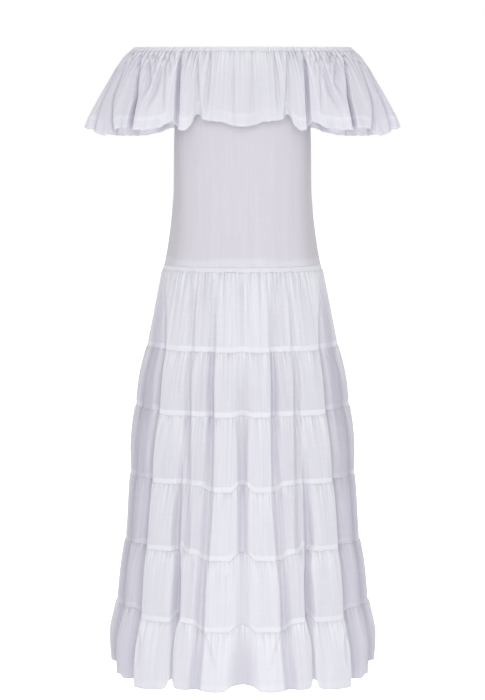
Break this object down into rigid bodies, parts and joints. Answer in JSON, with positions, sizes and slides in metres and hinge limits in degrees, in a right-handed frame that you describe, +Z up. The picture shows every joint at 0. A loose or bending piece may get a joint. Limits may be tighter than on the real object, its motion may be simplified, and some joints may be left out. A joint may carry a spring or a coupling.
{
  "type": "maxi dress",
  "caption": "Long off-the-shoulder dress with a deep gathered flounce round the neckline, a straight bodice and a full skirt of gathered tiers, shaped as worn and hollow.",
  "frame": {"origin": "middle of the neckline's top edge, where the wearer's upper arms and chest hold the dress up", "axes": "+Z up from the hem to the neckline, the dress's front faces -Y, +X to the right seen from the front"},
  "size_m": [0.6399, 0.442, 1.29],
  "materials": {
    "white_cotton": "matte crinkled cotton voile, gathered",
    "single_cotton": "matte crinkled cotton voile, one sheer layer"
  },
  "bodies": {
    "root": {"neckline_casing": "white_cotton", "flounce": "white_cotton", "bodice_front": "single_cotton", "bodice_back": "single_cotton", "hip_band": "white_cotton", "skirt_tier_1": "white_cotton", "skirt_tier_2": "white_cotton", "skirt_tier_3": "white_cotton", "skirt_tier_4": "white_cotton", "skirt_tier_5": "white_cotton", "skirt_tier_6": "white_cotton"}
  },
  "joints": []
}
